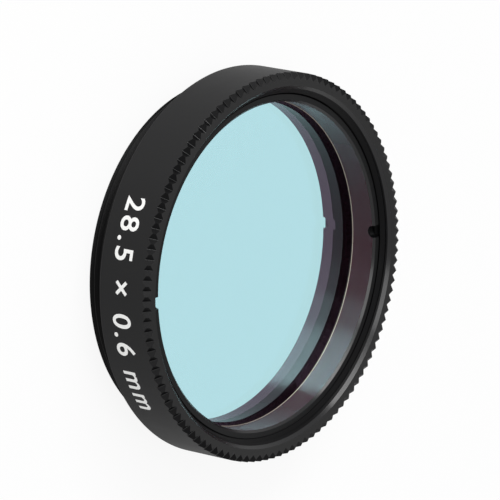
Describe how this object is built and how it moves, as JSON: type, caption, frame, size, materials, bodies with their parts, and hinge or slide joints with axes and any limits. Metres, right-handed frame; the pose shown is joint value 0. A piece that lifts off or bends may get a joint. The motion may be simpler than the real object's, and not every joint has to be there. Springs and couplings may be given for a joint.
{
  "type": "infrared pass filter",
  "caption": "Threaded round filter cell with a knurled front rim that holds a coated infrared pass glass under a slotted retaining ring.",
  "frame": {"origin": "centre of the threaded end's face, on the optical axis, at the bottom", "axes": "+Z along the optical axis, from the threaded end to the knurled front; the ring's slots stop 19.2 degrees from X"},
  "size_m": [0.0316, 0.0316, 0.0074],
  "materials": {
    "anodised_cell": "satin black anodised turned aluminium",
    "coated_glass": "polished glass with a multilayer coating that mirrors pale cyan",
    "anodised_ring": "glossy black anodised turned aluminium"
  },
  "bodies": {
    "root": {"filter_cell": "anodised_cell", "filter_glass": "coated_glass", "retaining_ring": "anodised_ring"}
  },
  "joints": []
}
